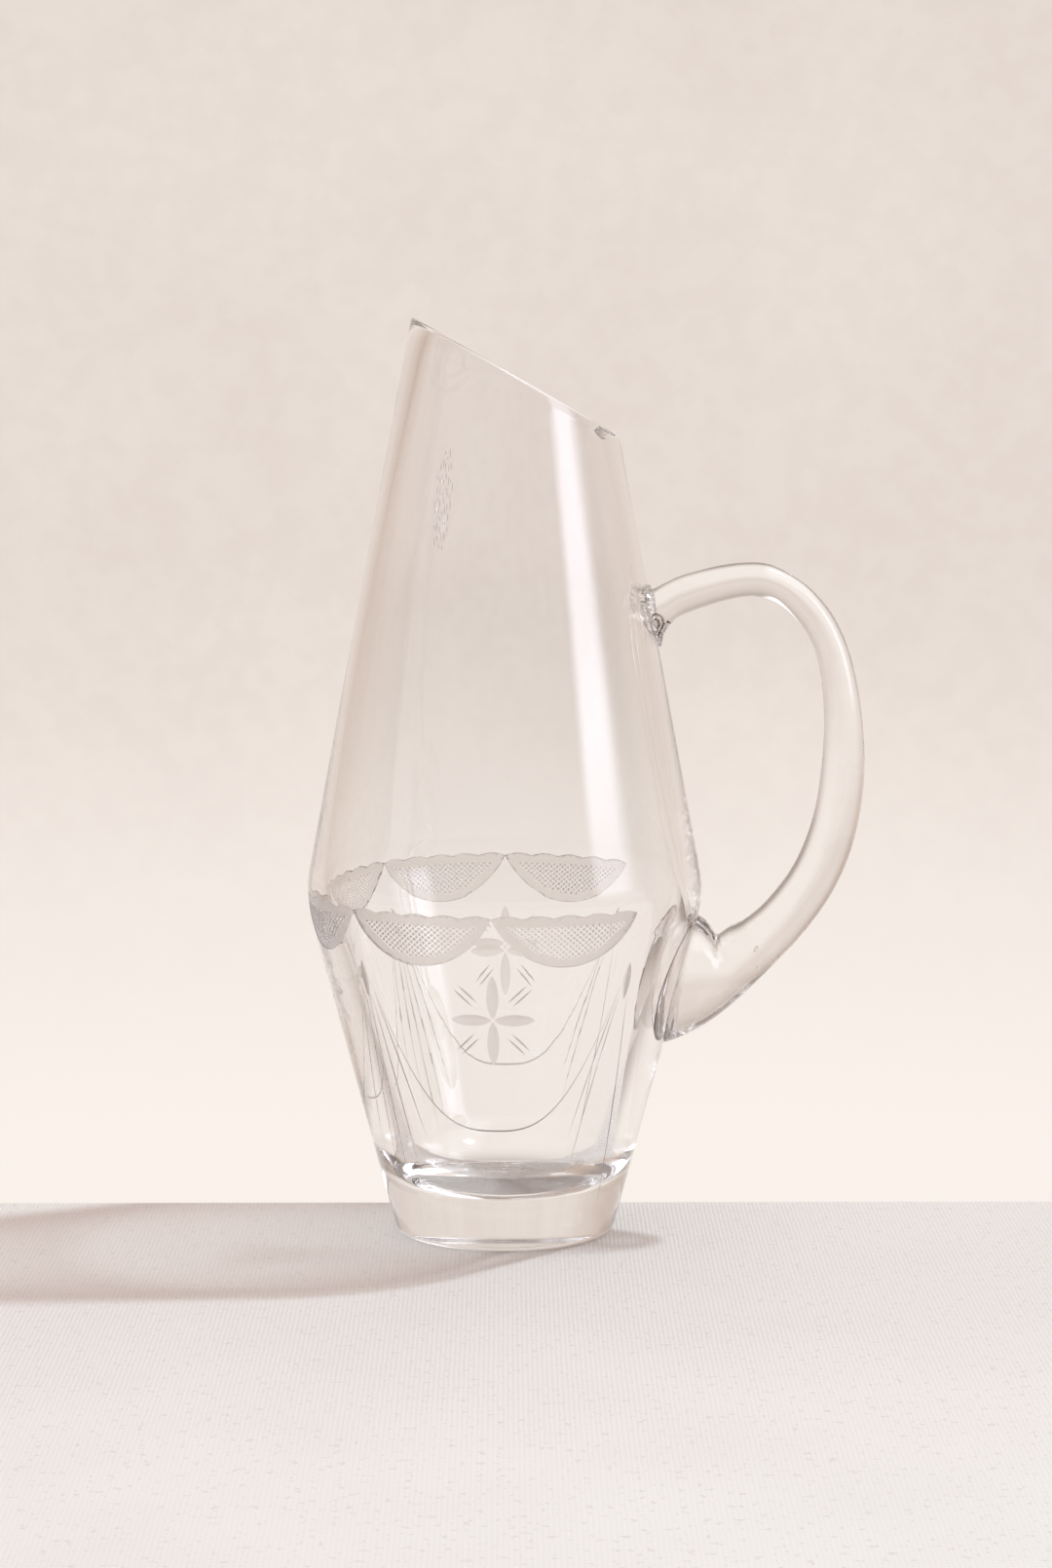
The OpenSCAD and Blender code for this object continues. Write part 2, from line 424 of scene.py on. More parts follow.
def lineRadius(z, a, b):
    return mix(a[0], b[0], (z - a[1]) / (b[1] - a[1]))


footCorner = (vessel["footRadius"], 0)
ridgeCorner = (vessel["ridgeRadius"], vessel["ridgeHeight"])
tipCorner = (vessel["tipRadius"], vessel["height"])


def coneRadius(z):
    if z < vessel["ridgeHeight"]:
        return lineRadius(z, footCorner, ridgeCorner)
    return lineRadius(z, ridgeCorner, tipCorner)


def cornerCircle(a, b, c, radius):  # middle of the circle that rounds corner b, its first and last radius
    a, b, c = Vector(a), Vector(b), Vector(c)
    toA, toC = (a - b).normalized(), (c - b).normalized()
    half = toA.angle(toC) / 2
    middle = b + (toA + toC).normalized() * radius / math.sin(half)
    first = b + toA * radius / math.tan(half) - middle
    last = b + toC * radius / math.tan(half) - middle
    return middle, first, last


def roundCorner(a, b, c, radius, steps):
    middle, first, last = cornerCircle(a, b, c, radius)
    turn = first.angle(last)
    points = []
    for i in range(steps + 1):
        t = i / steps
        blended = (first * math.sin((1 - t) * turn) + last * math.sin(t * turn)) / math.sin(turn)
        points.append(tuple(middle + blended))
    return points


def upperWall(z):
    neck = vessel["neckHeight"]
    if z > neck:
        return mix(vessel["neckWall"], vessel["tipWall"], ((z - neck) / (vessel["height"] - neck)) ** 2)
    return mix(vessel["neckWall"], vessel["ridgeWall"], ((neck - z) / (neck - vessel["ridgeHeight"])) ** 2)


def upperInside(z):
    return (coneRadius(z) - upperWall(z), z)


def floorRipple(r):  # rings left in the bottom of the bowl by the tool
    fade = math.exp(-(r / vessel["rippleReach"]) ** 4)
    return vessel["ripple"] * math.cos(2 * math.pi * r / vessel["rippleLength"]) * fade


def vesselOutline():
    top = vessel["height"]
    start = vessel["slantStart"]
    slantRows = [mix(start, top, i / vessel["slantRows"]) for i in range(vessel["slantRows"] + 1)]
    ridge = roundCorner(footCorner, ridgeCorner, tipCorner, vessel["ridgeRound"], vessel["cornerSteps"])
    foot = roundCorner((0, 0), footCorner, ridgeCorner, vessel["footRound"], vessel["footSteps"])
    outside = [(0, 0)] + foot + ridge + [(coneRadius(z), z) for z in slantRows]
    lowInside = (coneRadius(vessel["lowHeight"]) - vessel["lowWall"], vessel["lowHeight"])
    ridgeInside = (vessel["ridgeRadius"] - vessel["ridgeWall"], vessel["ridgeHeight"])
    floorZ = vessel["floorHeight"]
    floorCorner = (lineRadius(floorZ, lowInside, ridgeInside), floorZ)
    wallStart = mix(vessel["ridgeHeight"], vessel["neckHeight"], vessel["wallStartShare"])
    bowl = roundCorner((0, floorZ), floorCorner, ridgeInside, vessel["bowlRound"], vessel["cornerSteps"])
    innerRidge = roundCorner(
        floorCorner, ridgeInside, upperInside(wallStart),
        vessel["ridgeRound"] - vessel["ridgeWall"], vessel["cornerSteps"])
    wall = [upperInside(mix(wallStart, start, i / vessel["wallSteps"])) for i in range(vessel["wallSteps"])]
    flat = bowl[0][0]
    floor = [(flat * i / vessel["floorSteps"], floorZ) for i in range(vessel["floorSteps"])]
    floor = [(r, z + floorRipple(r)) for r, z in floor]
    inside = floor + bowl + innerRidge + wall + [upperInside(z) for z in slantRows]
    return outside + inside[::-1]


def spunBody(name, outline):  # a vertex drawn along the outline and spun round Z
    letGo()
    bpy.ops.mesh.primitive_plane_add(size=mm)
    body = bpy.context.object
    body.name = name
    body.data.name = name
    editMode(body)
    selectAll()
    bpy.ops.mesh.merge(type="CENTER")
    here = Vector((outline[0][0], 0, outline[0][1]))
    bpy.ops.transform.translate(value=here * mm)
    for r, z in outline[1:]:
        there = Vector((r, 0, z))
        bpy.ops.mesh.extrude_region_move(TRANSFORM_OT_translate={"value": (there - here) * mm})
        here = there
    selectAll()
    bpy.ops.mesh.spin(steps=vessel["steps"], angle=2 * math.pi, center=(0, 0, 0), axis=(0, 0, 1))
    selectAll()
    bpy.ops.mesh.remove_doubles(threshold=weldReach)
    faceOutwards()
    objectMode()
    return body


def mouthHeight(x):
    return vessel["height"] - (x + vessel["tipRadius"]) * math.tan(math.radians(vessel["mouthSlope"]))


def slantMouth(body):  # slides the upper rows along their walls until the last one lies in the cut
    start, top = vessel["slantStart"], vessel["height"]
    for v in body.data.vertices:
        x, y, z = v.co / mm
        if z < start - vessel["rimSlack"]:
            continue
        r = math.hypot(x, y)
        outside = r > coneRadius(z) - upperWall(z) / 2
        wallR = coneRadius if outside else (lambda h: upperInside(h)[0])
        edge = top
        for _ in range(vessel["slantTries"]):  # closes in on where the wall meets the cut
            edge = mouthHeight(wallR(edge) * x / r)
        newZ = mix(start, edge, (z - start) / (top - start))
        newR = wallR(newZ)
        v.co = Vector((newR * x / r, newR * y / r, newZ)) * mm


def roundRim(body):
    editMode(body, "EDGE")
    mesh = bmesh.from_edit_mesh(body.data)
    for edge in mesh.edges:
        ends = [v.co / mm for v in edge.verts]
        onCut = all(
            abs(p.z - mouthHeight(p.x)) < vessel["rimSlack"] and p.z > vessel["slantStart"] for p in ends)
        sameWall = abs(ends[0].xy.length - ends[1].xy.length) < vessel["neckWall"] / 2
        edge.select = onCut and sameWall
    bmesh.update_edit_mesh(body.data)
    bpy.ops.mesh.bevel(
        offset=vessel["rimRound"] * mm, offset_type="OFFSET", segments=vessel["rimSteps"],
        profile=0.5, affect="EDGES", clamp_overlap=True)
    objectMode()


glass = {
    "ior": 1.5,
    "kinds": {
        "clearGlass": {"tint": (0.985, 0.98, 0.98), "wall": True},
        "handleGlass": {"tint": (0.97, 0.96, 0.952), "swell": 0.12},
        # the lighter slant tints of the ground glasses are painted light
        "satinGlass": {"tint": (0.775, 0.745, 0.72), "slantLightTint": (0.99, 0.98, 1.0), "roughness": 0.5},
        "fineCutGlass": {"tint": (0.77, 0.74, 0.72), "slantLightTint": (0.98, 0.97, 1.0), "roughness": 0.35},
        "grooveGlass": {"roughness": 0.03},
        # painted shade: the glass of the thin cut lines is tinted dark
        "lineShadeGlass": {"tint": (0.36, 0.32, 0.30), "roughness": 0.3},
        # painted shade: the dark glass in the handle's creases and round the lower pad
        "seamShadeGlass": {"tint": (0.10, 0.06, 0.04), "roughness": 0.1},
    },
    # the wall's faint upright streaks: their depth, and scales of the noise by turn, height and turn again
    "streak": 0.007,
    "streakScales": (22, 9, 3),
    "streakDetail": 1.5,
    # tints of the wall's parts, the belly's with its lowest and highest height and soft edge
    "bellyTint": (0.965, 0.96, 0.955),
    "bellyHeights": (125, 190, 30),
    # painted shade: the wall is tinted darker where it is seen edge on, less of it low down
    "edgeShadeTint": (0.90, 0.85, 0.815),
    "edgeFacing": (0.3, 0.9),
    "edgeHeights": (80, 120),
    "edgeLowShare": 0.3,
    "baseTint": (1.0, 1.0, 1.0),
    "baseHeights": (14, 26),
    # from face on to a slant, over which a ground face turns to its lighter slant tint: painted light, for
    # the light that a ground surface scatters
    "slantFacing": (0.25, 0.6),
    "swellNoise": (110.0, 1.0),
    # the shadow: most light passes straight through, less of it at the edges and over the base
    "shadowTint": (0.97, 0.965, 0.96),
    "shadowPower": 2.7,
    "shadowHeights": (12, 30),
    "shadowBaseShare": 0.25,
}


def glassMaterial(name, roughness=0.0, tint=(1.0, 1.0, 1.0), wall=False, slantLightTint=None, swell=0):
    material = bpy.data.materials.new(name)
    maker = emptyTree(material)
    coords = maker.node("ShaderNodeTexCoord", output=3)
    x, y, z = coords.xyz()
    facing = maker.node("ShaderNodeLayerWeight", output=1)
    values = {
        "Base Color": (*tint, 1), "Roughness": roughness, "IOR": glass["ior"], "Transmission Weight": 1.0}
    # the duskier edge is painted shade
    if wall:  # faint upright waves from blowing, a duskier edge and a clearer base
        around = maker.sum("ARCTAN2", y, x)
        wide, high, slant = glass["streakScales"]
        grain = maker.node("ShaderNodeCombineXYZ", None, {0: around * wide, 1: z * high, 2: around * slant})
        values["Normal"] = grain.noise(1.0, glass["streakDetail"]).bump(glass["streak"])
        belly = z.window(*inMm(glass["bellyHeights"]))
        colour = belly.blend((*tint, 1), (*glass["bellyTint"], 1))
        above = z.between(*inMm(glass["edgeHeights"]), glass["edgeLowShare"], 1)
        # painted shade along the edges seen at a slant
        edge = facing.between(*glass["edgeFacing"]) * above
        colour = edge.blend(colour, (*glass["edgeShadeTint"], 1))
        values["Base Color"] = z.between(*inMm(glass["baseHeights"])).blend((*glass["baseTint"], 1), colour)
    # painted light: a ground face seen at a slant is tinted lighter, for the light that its rough surface
    # scatters
    if slantLightTint:  # a ground face seen at a slant
        values["Base Color"] = facing.between(*glass["slantFacing"]).blend((*tint, 1), (*slantLightTint, 1))
    if swell:  # slow swells left in glass that was drawn by hand
        values["Normal"] = coords.noise(*glass["swellNoise"]).bump(swell)
    shader = maker.node("ShaderNodeBsdfPrincipled", None, values)
    hole = maker.node("ShaderNodeBsdfTransparent", None, {"Color": (*glass["shadowTint"], 1)})
    shadowRay = maker.rays("Is Shadow Ray")[0]
    base = z.between(*inMm(glass["shadowHeights"]), glass["shadowBaseShare"], 1)
    solid = facing ** glass["shadowPower"] * base
    both = maker.node("ShaderNodeMixShader", None, {0: shadowRay * (1 - solid), 1: shader, 2: hole})
    finishTree(maker, "ShaderNodeOutputMaterial", both)
    print(name, "made")
    return material


clearGlass, handleGlass, satinGlass, fineCutGlass, grooveGlass, lineShadeGlass, seamShadeGlass = (
    glassMaterial(name, **look) for name, look in glass["kinds"].items())


def makeVessel():
    body = spunBody("glassBody", vesselOutline())
    slantMouth(body)
    roundRim(body)
    paint(body, clearGlass)
    print("vessel made", len(body.data.polygons))
    return body


glassBody = makeVessel()

# Cut ornament: swags of satin lobes with fine diamonds, flowers, fans and garlands

band = {
    "lobes": 6,
    "gap": 47.7,
    "turn": -2,
    "topHeight": 105.5,
    "drop": 15,
    "depth": 0.4,
    "scallops": 5,
    "scallopRise": 0.9,
    "scallopSteps": 8,
    "lowSteps": 40,
    "topBorder": 2.6,
    "lowBorder": 2.5,
    "endBorder": 3.0,
    "diamondWidth": 2.0,
    "diamondHeight": 1.66,
    "grooveDepth": 0.45,
    "grooveWidth": 0.3,
    "peakDepth": 0.1,
    "standOut": 1.2,
    "reach": 2,
    # the sheet of diamonds: cells along each side, height of its middle, and what is kept round a lobe
    "cells": 36,
    "cellMiddle": -7,
    "keepBeside": 2,
    "keepAbove": 3,
}
# Each cut has its width, depth, the power of its section, where 1 is a plain V, and its rows along
flower = {
    "height": 74.5,
    "petal": 14,
    "sidePetal": 12,
    "gap": 0.4,
    "petalCut": {"width": 3.7, "depth": 0.6, "power": 1.35, "rows": 23},
    "stroke": 8,
    "strokeReach": 11,
    "strokePitch": 1.9,
    "strokeLeans": (45, 135, 225, 315),
    "strokeCut": {"width": 0.55, "depth": 0.3, "power": 1, "rows": 13},
    "wallRise": 0.967,  # height gained by a mm along the wall
}
fan = {
    "apex": 90.5,
    "leaf": 12,
    "leafCut": {"width": 2.8, "depth": 0.5, "power": 1.2, "rows": 21},
    "lineStart": 81,
    "lineCut": {"width": 0.42, "depth": 0.25, "power": 1, "rows": 41},
    # turn from the apex in degrees and height where each line ends
    "middleLines": ((-15, 36), (-8, 27), (0, 19), (7, 24), (14, 33)),
    "endLines": ((-9, 10.7), (12, 28), (14.5, 36.5)),
}
garland = {
    "lowest": 39.6,
    "power": 3.0,
    "cut": {"width": 0.55, "depth": 0.3, "power": 1, "rows": 97},
}
wheel = {
    # heights of the points of a cut's section, in depths of the cut
    "sharpHeights": (0, 1.0, 2.3),
    "roundHeights": (0, 0.15, 0.4, 0.7, 1.0, 1.5, 2.3),
    # reach of the tool past the cut's ends, and the stretch that gives its direction, in shares of the path
    "runOut": 1.12,
    "stretch": 0.01,
}

lobeAngle = (360 - 2 * band["gap"]) / band["lobes"]


def joinAngle(n):
    return band["turn"] - band["gap"] - n * lobeAngle


ridgeCentre, ridgeFirst, ridgeLast = cornerCircle(footCorner, ridgeCorner, tipCorner, vessel["ridgeRound"])


def outerSlope(z):  # radius and outward normal, in the plane of the outline, at height z
    low, high = ridgeCentre.y + ridgeFirst.y, ridgeCentre.y + ridgeLast.y
    if low < z < high:
        rise = (z - ridgeCentre.y) / vessel["ridgeRound"]
        across = math.sqrt(1 - rise ** 2)
        return ridgeCentre.x + across * vessel["ridgeRound"], across, rise
    a, b = (footCorner, ridgeCorner) if z <= low else (ridgeCorner, tipCorner)
    run = Vector((b[0] - a[0], b[1] - a[1])).normalized()
    return coneRadius(z), run.y, -run.x


def wallPoint(angle, z, depth=0.0):
    r, out, up = outerSlope(z)
    turn = math.radians(angle)
    r -= depth * out
    return Vector((r * math.cos(turn), r * math.sin(turn), z - depth * up))


def wallNormal(angle, z):
    _, out, up = outerSlope(z)
    turn = math.radians(angle)
    return Vector((out * math.cos(turn), out * math.sin(turn), up))


def carve(body, tools):
    join(tools)
    combine(body, tools[0], "DIFFERENCE")


def rolledTube(name, rings, around, place):  # a sheet rolled into a closed tube, place(row, column)
    letGo()
    bpy.ops.mesh.primitive_grid_add(x_subdivisions=around, y_subdivisions=rings - 1, size=1)
    tube = bpy.context.object
    tube.name = name
    tube.data.name = name
    for k, v in enumerate(tube.data.vertices):
        row, column = divmod(k, around + 1)
        v.co = Vector(place(row, column % around)) * mm
    editMode(tube, "EDGE")
    selectAll()
    bpy.ops.mesh.remove_doubles(threshold=weldReach)
    bpy.ops.mesh.fill_holes(sides=0)
    faceOutwards()
    objectMode()
    return tube


# path(s) gives angle and height for s from -1 to 1. The cut is deepest at 0 and runs out at both ends
def groove(name, path, material, width, depth, power, rows):
    heights = wheel["roundHeights"] if power > 1 else wheel["sharpHeights"]
    section = [(width / 2 * h ** (1 / power), h * depth) for h in heights]
    section += [(-y, h) for y, h in section[:0:-1]]

    def place(row, column):
        s = (2 * row / (rows - 1) - 1) * wheel["runOut"]
        angle, z = path(s)
        here, there = wallPoint(angle, z), wallPoint(*path(s + wheel["stretch"]))
        out = wallNormal(angle, z)
        side = out.cross((there - here).normalized())
        across, rise = section[column]
        return here + side * across + out * (rise - depth * (1 - s ** 2))

    tool = rolledTube(name, rows, len(section), place)
    paint(tool, material)
    return tool


def straight(angle, z, length, lean):  # a path of this length through a wall point, lean degrees from upright
    r = outerSlope(z)[0]

    def path(s):
        along = s * length / 2
        return (angle + math.degrees(along * math.sin(math.radians(lean)) / r),
                z + along * math.cos(math.radians(lean)) * wallNormal(angle, z).xy.length)
    return path


def between(angleA, zA, angleB, zB):
    return lambda s: (mix(angleA, angleB, (s + 1) / 2), mix(zA, zB, (s + 1) / 2))


def lobeEdge(half):  # outline of a lobe, flat, with the band's upper line at y = 0, and its lower radius
    steps = band["scallopSteps"]
    count = band["scallops"] * steps
    outline = []
    for i in range(count):
        x = mix(-half, half, i / count)
        outline.append((x, band["scallopRise"] * abs(math.sin(math.pi * i / steps))))
    r = (half ** 2 + band["drop"] ** 2) / (2 * band["drop"])
    wide = math.asin(half / r)
    for i in range(band["lowSteps"]):
        a = wide * (1 - 2 * i / band["lowSteps"])
        outline.append((r * math.sin(a), r - band["drop"] - r * math.cos(a)))
    return outline, r


def inDiamonds(x, y, half, r):
    low = math.hypot(x, y - (r - band["drop"])) < r - band["lowBorder"]
    return low and y < -band["topBorder"] and abs(x) < half - band["endBorder"]


lobeMaterials = (satinGlass, fineCutGlass, grooveGlass)
inSatin, inDiamond, inGroove = range(len(lobeMaterials))


def lobeStamp(outline):  # the outline as a block that stands right through the sheet of diamonds
    letGo()
    bpy.ops.mesh.primitive_circle_add(vertices=len(outline), radius=mm, fill_type="NGON")
    stamp = bpy.context.object
    for v, (x, y) in zip(stamp.data.vertices, outline):
        v.co = Vector((x, y, -band["reach"])) * mm
    editMode(stamp, "FACE")
    selectAll()
    rise = 2 * band["reach"] + band["standOut"]
    bpy.ops.mesh.extrude_region_move(TRANSFORM_OT_translate={"value": (0, 0, rise * mm)})
    faceOutwards()
    objectMode()
    paint(stamp, *lobeMaterials)
    return stamp


def diamondSheet():
    letGo()
    cells = band["cells"]
    bpy.ops.mesh.primitive_grid_add(
        x_subdivisions=cells, y_subdivisions=cells, size=cells * mm / math.sqrt(2))
    sheet = bpy.context.object
    sheet.name = "lobeCutter"
    sheet.rotation_euler.z = math.pi / 4
    bpy.ops.object.transform_apply(rotation=True)
    for v in sheet.data.vertices:
        v.co.x *= band["diamondWidth"]
        v.co.y = v.co.y * band["diamondHeight"] + band["cellMiddle"] * mm
    paint(sheet, *lobeMaterials)
    return sheet


def cropSheet(sheet, half):
    mesh = bmesh.from_edit_mesh(sheet.data)
    for face in mesh.faces:
        x, y, _ = face.calc_center_median() / mm
        beside = abs(x) < half + band["keepBeside"]
        face.select = not (beside and -band["drop"] - band["keepBeside"] < y < band["keepAbove"])
    bmesh.update_edit_mesh(sheet.data)
    bpy.ops.mesh.delete(type="FACE")


def pressDiamonds(sheet, half, r):  # a peak in each diamond, grooves between them, a level border round all
    selectAll()
    mesh = bmesh.from_edit_mesh(sheet.data)
    for face in mesh.faces:
        x, y, _ = face.calc_center_median() / mm
        face.material_index = inGroove if inDiamonds(x, y, half, r) else inSatin
        face.select = face.material_index == inGroove
    bmesh.update_edit_mesh(sheet.data)
    bpy.ops.mesh.inset(thickness=band["grooveWidth"] / 2 * mm, use_individual=True)
    bpy.ops.mesh.poke()
    mesh = bmesh.from_edit_mesh(sheet.data)
    for face in mesh.faces:
        if len(face.verts) == 3:
            face.material_index = inDiamond
    for v in mesh.verts:
        kinds = {face.material_index for face in v.link_faces}
        if inSatin in kinds:
            v.co.z = -band["depth"] * mm
        elif inGroove in kinds:
            v.co.z = -band["grooveDepth"] * mm
        else:
            v.co.z = -band["peakDepth"] * mm
    bmesh.update_edit_mesh(sheet.data)


def thickenSheet(sheet):  # its upper side is level and stands out from the wall
    selectAll()
    bpy.ops.mesh.extrude_region_move(TRANSFORM_OT_translate={"value": (0, 0, 2 * band["reach"] * mm)})
    mesh = bmesh.from_edit_mesh(sheet.data)
    for v in mesh.verts:
        if v.co.z > band["reach"] * mm:
            v.co.z = band["standOut"] * mm
    bmesh.update_edit_mesh(sheet.data)
    faceOutwards()


def flatLobe(half):
    outline, r = lobeEdge(half)
    stamp = lobeStamp(outline)
    sheet = diamondSheet()
    editMode(sheet, "FACE")
    cropSheet(sheet, half)
    pressDiamonds(sheet, half, r)
    thickenSheet(sheet)
    objectMode()
    combine(sheet, stamp, "INTERSECT")
    return sheet


def wrapped(flat, angle, name):
    pick(flat)
    bpy.ops.object.duplicate()
    tool = bpy.context.object
    tool.name = name
    r = outerSlope(band["topHeight"])[0]
    for v in tool.data.vertices:
        x, y, z = v.co / mm
        v.co = wallPoint(angle + math.degrees(x / r), band["topHeight"] + y, -z) * mm
    return tool


def carveBand(body):
    half = math.radians(lobeAngle / 2) * outerSlope(band["topHeight"])[0]
    flat = flatLobe(half)
    for first in (0, 1):  # every other lobe at a time, because neighbours touch
        tools = [wrapped(flat, joinAngle(n + 0.5), f"lobe{n}") for n in range(first, band["lobes"], 2)]
        carve(body, tools)
    bpy.data.objects.remove(flat)
    print("band cut", len(body.data.polygons))


def carveFlowers(body):
    petals, strokes = [], []
    for n in range(1, band["lobes"], 2):
        angle, z = joinAngle(n), flower["height"]
        r = outerSlope(z)[0]
        for side in (-1, 1):
            rise = side * (flower["petal"] / 2 + flower["gap"]) * flower["wallRise"]
            turn = side * math.degrees((flower["sidePetal"] / 2 + flower["gap"]) / r)
            upright = straight(angle, z + rise, flower["petal"], 0)
            level = straight(angle + turn, z, flower["sidePetal"], 90)
            petals.append(groove("petal", upright, satinGlass, **flower["petalCut"]))
            petals.append(groove("petal", level, satinGlass, **flower["petalCut"]))
            for lean in flower["strokeLeans"]:
                a = math.radians(lean)
                across = side * flower["strokePitch"] / 2
                x = flower["strokeReach"] * math.sin(a) + across * math.cos(a)
                y = flower["strokeReach"] * math.cos(a) - across * math.sin(a)
                path = straight(
                    angle + math.degrees(x / r), z + y * flower["wallRise"], flower["stroke"], lean)
                strokes.append(groove("stroke", path, lineShadeGlass, **flower["strokeCut"]))
    carve(body, petals)
    carve(body, strokes)
    print("flowers cut", len(body.data.polygons))


def carveFans(body):
    leaves, lines = [], []
    top = fan["apex"]
    for n in range(0, band["lobes"] + 1, 2):
        angle = joinAngle(n)
        upright = straight(angle, top - fan["leaf"] / 2, fan["leaf"], 0)
        leaves.append(groove("leaf", upright, satinGlass, **fan["leafCut"]))
        atEnd = n in (0, band["lobes"])
        for turn, z in fan["endLines"] if atEnd else fan["middleLines"]:
            turn = turn if n == band["lobes"] else -turn
            share = (top - fan["lineStart"]) / (top - z)
            path = between(angle + turn * share, fan["lineStart"], angle + turn, z)
            lines.append(groove("line", path, lineShadeGlass, **fan["lineCut"]))
    carve(body, leaves)
    carve(body, lines)
    print("fans cut", len(body.data.polygons))


def carveGarlands(body):
    tools = []
    for n in range(1, band["lobes"], 2):
        def path(s, middle=joinAngle(n)):
            return (
                middle + s * lobeAngle,
                mix(garland["lowest"], fan["apex"], abs(s) ** garland["power"]))

        tools.append(groove("garland", path, lineShadeGlass, **garland["cut"]))
    carve(body, tools)
    print("garlands cut", len(body.data.polygons))


def hollow(size, lean, turn, place, material, detail):  # a bubble, whose skin faces inwards
    letGo()
    bpy.ops.mesh.primitive_uv_sphere_add(segments=detail[0], ring_count=detail[1], radius=mm / 2)
    bubble = bpy.context.object
    bubble.scale = size
    bubble.rotation_euler = (0, math.radians(lean), math.radians(turn))
    bubble.location = place * mm
    bpy.ops.object.transform_apply(location=True, rotation=True, scale=True)
    editMode(bubble, "FACE")
    selectAll()
    bpy.ops.mesh.flip_normals()
    objectMode()
    paint(bubble, material)
    return bubble


seeds = {
    "count": 46,
    "goldenTurn": 2.39996,
    "middleTurn": 241,
    "middleHeight": 226,
    "spreadTurn": 4.5,
    "spreadHeight": 15,
    "depth": 1.6,
    "length": 3.2,
    "shortest": 0.37,
    "lengthBeat": 1.7,
    "thick": 0.22,
    "lean": 8,
    "leanBeat": 3.1,
    "detail": (8, 6),
}


def addSeeds(body):  # a cloud of tiny drawn bubbles inside the front wall
    cloud = []
    for k in range(seeds["count"]):
        a = k * seeds["goldenTurn"]
        away = math.sqrt((k + 0.5) / seeds["count"])
        turn = seeds["middleTurn"] + seeds["spreadTurn"] * away * math.cos(a)
        z = seeds["middleHeight"] + seeds["spreadHeight"] * away * math.sin(a)
        share = mix(seeds["shortest"], 1, (1 + math.sin(k * seeds["lengthBeat"])) / 2)
        size = (seeds["thick"], seeds["thick"], seeds["length"] * share)
        lean = seeds["lean"] * math.sin(k * seeds["leanBeat"])
        place = wallPoint(turn, z, seeds["depth"])
        cloud.append(hollow(size, lean, turn, place, grooveGlass, seeds["detail"]))
    join([body] + cloud)
    print("seeds added", len(body.data.polygons))


def trueNormals(body):  # the cuts leave long thin faces, so the wall's own directions shade them
    mesh = body.data
    clear = mesh.materials.find("clearGlass")
    normals = [Vector()] * len(mesh.loops)
    for face in mesh.polygons:
        if face.material_index != clear:
            continue
        for k in face.loop_indices:
            x, y, z = mesh.vertices[mesh.loops[k].vertex_index].co / mm
            inWall = vessel["trueStart"] < z < vessel["slantStart"]
            if inWall and abs(math.hypot(x, y) - outerSlope(z)[0]) < vessel["wallSlack"]:
                normals[k] = wallNormal(math.degrees(math.atan2(y, x)), z)
    mesh.normals_split_custom_set(normals)


def finishVessel(body):  # smooth, with sharp edges round every cut and round each fine diamond face
    pick(body)
    bpy.ops.object.shade_smooth()
    editMode(body, "EDGE")
    mesh = bmesh.from_edit_mesh(body.data)
    for edge in mesh.edges:
        kinds = {f.material_index for f in edge.link_faces}
        edge.smooth = len(kinds) == 1
    fine = body.data.materials.find("fineCutGlass")
    for face in mesh.faces:
        if face.material_index == fine:
            face.smooth = False
    bmesh.update_edit_mesh(body.data)
    objectMode()
    trueNormals(body)
    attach(body, "root")
    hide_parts("vessel", "base")
    print("vessel finished", len(body.data.polygons))


carveBand(glassBody)
carveFlowers(glassBody)
carveFans(glassBody)
carveGarlands(glassBody)
addSeeds(glassBody)
finishVessel(glassBody)

# Handle: a drawn rod in one loop, pressed on to the wall at both ends

